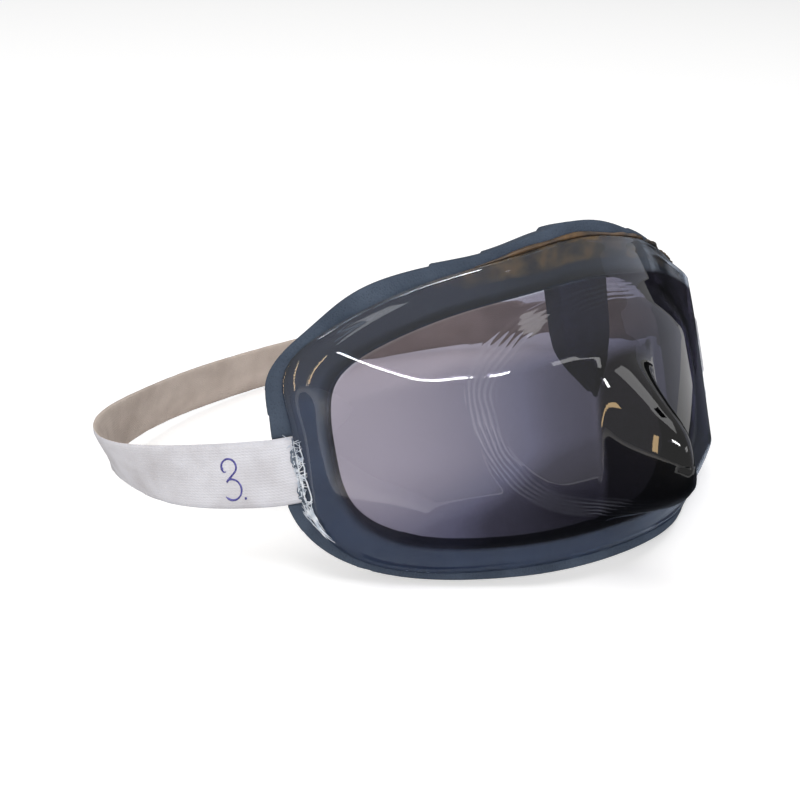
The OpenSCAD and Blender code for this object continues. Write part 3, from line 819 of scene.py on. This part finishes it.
def film_adhesive():
    """Contact adhesive brushed on foam: the slate shows through a thin coat, darkened towards the
    top by painted shade, and it is streaked amber where it lies thick."""
    material, tree, surface = finish("film_adhesive", Roughness=0.5)
    here = own_place(tree)
    cloud = add(tree, "ShaderNodeTexNoise", here, Scale=70.0, Detail=6.0)
    slate = ramp(tree, cloud, "Fac", [(0.3, "#2c394a"), (0.7, "#374558")])
    # painted shade: the slate is darkened towards the top
    painted_top_shade = add(tree, "ShaderNodeAttribute", attribute_name="painted_top_shade")
    slate = add(tree, "ShaderNodeMixRGB", [("Fac", painted_top_shade, "Fac"), ("Color1", slate, "Color")],
                Color2=linear("#24262b"))
    streak = add(tree, "ShaderNodeTexNoise", here, Scale=170.0, Detail=6.0)
    amber = ramp(tree, streak, "Fac", [(0.36, "#2a231a"), (0.52, "#5c4526"), (0.66, "#80602f")])
    thick = add(tree, "ShaderNodeAttribute", attribute_name="amber")
    uneven = scaled(tree, cloud, "Fac", 0.9, plus=(thick, "Fac"))
    mask = ramp(tree, uneven, "Value", [(0.78, "#000000"), (1.0, "#ffffff")])
    tone = add(tree, "ShaderNodeMixRGB",
               [("Fac", mask, "Color"), ("Color1", slate, "Color"), ("Color2", amber, "Color")])
    feed(tree, surface, tone)
    return material


def mottled(name, roughness, scale, detail, stops, lumps=None):
    """A plain stuff clouded from a dark to a light colour, lumpy with its clouds if lumps, their
    height in metres, is given. The eye gets uneven wear or streaks."""
    material, tree, surface = finish(name, Roughness=roughness)
    here = own_place(tree)
    cloud = add(tree, "ShaderNodeTexNoise", here, Scale=scale, Detail=detail)
    bump = lumps and add(tree, "ShaderNodeBump", [("Height", cloud, "Fac")], Strength=0.5,
                         Distance=lumps)
    feed(tree, surface, ramp(tree, cloud, "Fac", stops), bump)
    return material


def woven_elastic():
    """White woven elastic: matt, with fine lengthwise ribs crossed by picks, soiled in clouds of
    10 mm and warmer on its inner face. The ribs are drawn 0.9 mm apart, about half as many as
    the real tape has, so that they show."""
    material, tree, surface = finish("woven_elastic", Roughness=0.88, Specular_IOR_Level=0.2)
    uv = add(tree, "ShaderNodeUVMap", uv_map="cloth")
    cells = add(tree, "ShaderNodeSeparateXYZ", [("Vector", uv, "UV")])
    ribs = wave(tree, cells, "Y", RIB_SPACING)
    picks = wave(tree, cells, "X", PICK_SPACING)
    weave = product(tree, ribs, "Value", picks, "Value")
    both = add(tree, "ShaderNodeMath", [(0, weave, "Value"), (1, ribs, "Value")], operation="ADD")
    inner = add(tree, "ShaderNodeAttribute", attribute_name="inner")
    shade = ramp(tree, inner, "Fac", [(0.0, "#d6d7df"), (1.0, "#d9cbc0")])
    here = own_place(tree)
    soil = add(tree, "ShaderNodeTexNoise", here, Scale=95.0, Detail=7.0)
    worn = ramp(tree, soil, "Fac", [(0.32, "#eae8e7"), (0.62, "#ffffff")])
    tone = add(tree, "ShaderNodeMixRGB", [("Color1", shade, "Color"), ("Color2", worn, "Color")],
               blend_type="MULTIPLY", Fac=1.0)
    bump = add(tree, "ShaderNodeBump", [("Height", both, "Value")], Strength=0.5, Distance=0.00006)
    feed(tree, surface, tone, bump)
    return material


# -------- camera and light
def direction(azimuth, elevation):
    """Unit vector towards an azimuth, 0 at the front, and an elevation, both in degrees."""
    a, e = math.radians(azimuth), math.radians(elevation)
    return Vector((math.sin(a) * math.cos(e), -math.cos(a) * math.cos(e), math.sin(e)))


def camera():
    """Camera on the photograph's line of sight: azimuth and elevation about a target, and a
    slight roll."""
    target = Vector((-0.04489, -0.020, 0.04549))
    azimuth, elevation, roll, distance = -35.32, 24.89, math.radians(-1.73), 0.380
    focal_pixels, image_pixels, sensor_mm = 1238.2, 800, 36
    back = direction(azimuth, elevation)
    right = Vector((math.cos(math.radians(azimuth)), math.sin(math.radians(azimuth)), 0))
    up = back.cross(right)
    right, up = (right * math.cos(roll) - up * math.sin(roll),
                 right * math.sin(roll) + up * math.cos(roll))
    data = bpy.data.cameras.new("photo_camera")
    data.lens = focal_pixels / image_pixels * sensor_mm
    data.sensor_width = sensor_mm
    data.clip_start = 0.01
    eye = bpy.data.objects.new("photo_camera", data)
    bpy.context.scene.collection.objects.link(eye)
    place = Matrix((right, up, back)).transposed().to_4x4()
    place.translation = target + back * distance
    eye.matrix_world = place
    bpy.context.scene.camera = eye


def lamp(name, azimuth, elevation, away, size, glow, colour="#ffffff"):
    """A rectangular lamp that faces the mask from a direction in degrees; glow is how bright its
    face looks."""
    back = direction(azimuth, elevation)
    data = bpy.data.lights.new(name, "AREA")
    data.shape = "RECTANGLE"
    data.size, data.size_y = size
    data.energy = glow * size[0] * size[1] * math.pi
    data.color = linear(colour)[:3]
    piece = bpy.data.objects.new(name, data)
    bpy.context.scene.collection.objects.link(piece)
    piece.location = Vector((0, -0.03, 0.05)) + back * away
    piece.rotation_euler = back.to_track_quat("Z", "Y").to_euler()


def seen_rays(tree, more, base):
    """A strength that is base for light that falls on things, and more on top where the camera,
    gloss or glass looks."""
    seen = add(tree, "ShaderNodeLightPath")
    rays = add(tree, "ShaderNodeMath",
               [(0, seen, "Is Camera Ray"), (1, seen, "Is Transmission Ray")], operation="ADD")
    rays = add(tree, "ShaderNodeMath", [(0, rays, "Value"), (1, seen, "Is Glossy Ray")],
               operation="ADD", use_clamp=True)
    strength = add(tree, "ShaderNodeMath", [(0, rays, "Value")], operation="MULTIPLY_ADD")
    strength.inputs[1].default_value, strength.inputs[2].default_value = more, base
    return strength


def sheet_of(name, corners, material):
    """One flat stage piece from its four corners in metres."""
    mesh = bpy.data.meshes.new(name)
    mesh.from_pydata(corners, [], [(0, 1, 2, 3)])
    mesh.materials.append(material)
    piece = bpy.data.objects.new(name, mesh)
    bpy.context.scene.collection.objects.link(piece)
    return piece


def floor():
    """Plain white table under the mask."""
    material, tree, surface = finish(
        "white_paper", Roughness=0.9, Specular_IOR_Level=0.0, Base_Color=linear("#f0f0f0"),
        Emission_Color=linear("#ffffff"))
    tree.links.new(seen_rays(tree, 0.42, 0.0).outputs["Value"], surface.inputs["Emission Strength"])
    sheet_of("floor", [(-4, -4, 0), (4, -4, 0), (4, 4, 0), (-4, 4, 0)], material)


def card(name, corners, colour, glow=0.0):
    """Studio card that only reflections see: a grey screen or a black flag."""
    tone = linear(colour)
    material = finish(name, Base_Color=tone, Roughness=0.9, Emission_Color=tone,
                      Emission_Strength=glow)[0]
    piece = sheet_of(name, corners, material)
    piece.visible_camera = piece.visible_diffuse = False
    piece.visible_shadow = piece.visible_transmission = False


# -------- the studio
camera()
floor()
card("grey_cloth", [(-0.7, -0.7, 0.0008), (0.24, -0.7, 0.0008), (0.24, 0.4, 0.0008),
                    (-0.7, 0.4, 0.0008)], "#343941")
card("black_flag", [(0.215, -0.035, 0.001), (0.165, 0.09, 0.001), (0.165, 0.09, 0.12),
                    (0.215, -0.035, 0.12)], "#15171b")
card("grey_screen", [(0.45, -0.42, 0.001), (0.45, -0.03, 0.001), (0.45, -0.03, 0.34),
                     (0.45, -0.42, 0.34)], "#c9ccd8", 0.35)
card("overhead_flag", [(-0.05, -0.13, 0.3), (0.05, -0.13, 0.3), (0.05, -0.03, 0.3),
                       (-0.05, -0.03, 0.3)], "#15171b")
lamp("ceiling", -60, 84, 2.2, (2.0, 1.5), 2.6)
lamp("window", -42, 29, 1.3, (0.5, 0.10), 38)
lamp("front", 15, 24, 1.5, (0.7, 0.18), 4)
lamp("side", -76, 12, 1.3, (0.09, 0.5), 9, "#ffd9a0")
world = bpy.data.worlds.new("studio")
bpy.context.scene.world = world
world.use_nodes = True
backdrop = world.node_tree.nodes["Background"]
backdrop.inputs["Color"].default_value = linear("#ffffff")
SEEN = seen_rays(world.node_tree, 0.3, 0.3)
world.node_tree.links.new(SEEN.outputs["Value"], backdrop.inputs["Strength"])
bpy.context.scene.view_settings.view_transform = "Standard"

# -------- the pieces
PET = tinted_pet()
FOAM = closed_cell_foam("closed_cell_foam", "#3a4453", "#4b5666")
# painted light: the tongue's foam is a lighter copy of the slate foam, so that it looks lit under
# the tinted sheet
FOAM_PAINTED_LIGHTER = closed_cell_foam("foam_tongue_painted_lighter", "#65737d", "#7f8d97")
ELASTIC = woven_elastic()
# set contact adhesive: amber to brown, glossy and streaked
GLUE = mottled("contact_adhesive", 0.3, 160.0, 5.0, [(0.35, "#2f2a26"), (0.65, "#6b5236")])
# polyester yarn ends stiffened with glue, matt and cool white, and the dried glue round them
FIBRE = mottled("glued_yarn_ends", 0.7, 500.0, 5.0, [(0.35, "#b4bfce"), (0.62, "#eef2f8")], 0.0003)
SMEAR = mottled("dried_white_glue", 0.7, 500.0, 5.0, [(0.35, "#36414f"), (0.62, "#6d7989")], 0.0003)
# ballpoint ink in cloth: blue violet, starved of ink on the high threads
INK = mottled("ballpoint_ink", 0.6, 900.0, 3.0, [(0.35, "#3b3a86"), (0.7, "#6d6bb0")])


def dress(piece, material, body, nodes):
    """Give a piece its material and body, and hide the nodes it replaces."""
    piece.data.materials.append(material)
    if body:
        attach(piece, body)
    if nodes:
        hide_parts(*nodes)
    return piece


dress(visor(), PET, "mask", ["visor_shell"])
FOAM_PIECE = dress(foam_ring(), FOAM, "mask", ["foam_gasket"])
TONGUE = dress(foam_tongue(), FOAM_PAINTED_LIGHTER, "mask", [])
dress(glue_film(), film_adhesive(), "mask", ["adhesive_film"])
dress(glue_bead(), GLUE, "mask", ["adhesive_bead"])
for side, hand in (("left", -1), ("right", 1)):
    threads = frayed_threads(side + "_frayed_threads", hand)
    dress(threads, FIBRE, "mask", [side + "_strap_glue"])
    dress(glue_smear(side + "_glue_smear", hand), SMEAR, "mask", [])
dress(numeral(), INK, "strap_sides", [])
dress(full_stop(), INK, "strap_sides", [])

for side, piece_of in (("left", (0.0, ROOT_END)), ("right", (WHOLE - ROOT_END, WHOLE))):
    root = ribbon(side + "_strap_root", piece_of, 90)
    dress(root, ELASTIC, None, [side + "_strap_end"])
    # the strap leaves along the straight side of the mask and falls
    begin = Vector((EXIT[0] * MM, HINGE_Y * MM, HINGE_Z * MM))
    go = Vector((-math.cos(SIDE_ANGLE), math.sin(SIDE_ANGLE) * math.cos(FALL),
                 -math.sin(SIDE_ANGLE) * math.sin(FALL)))
    if side == "right":
        begin.x, go.x = -begin.x, -go.x
    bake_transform(root)
band = ribbon("strap_band", (ROOT_END, WHOLE - ROOT_END), 700)
dress(band, ELASTIC, None, ["left_strap_side", "right_strap_side", "strap_rear"])
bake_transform(band)
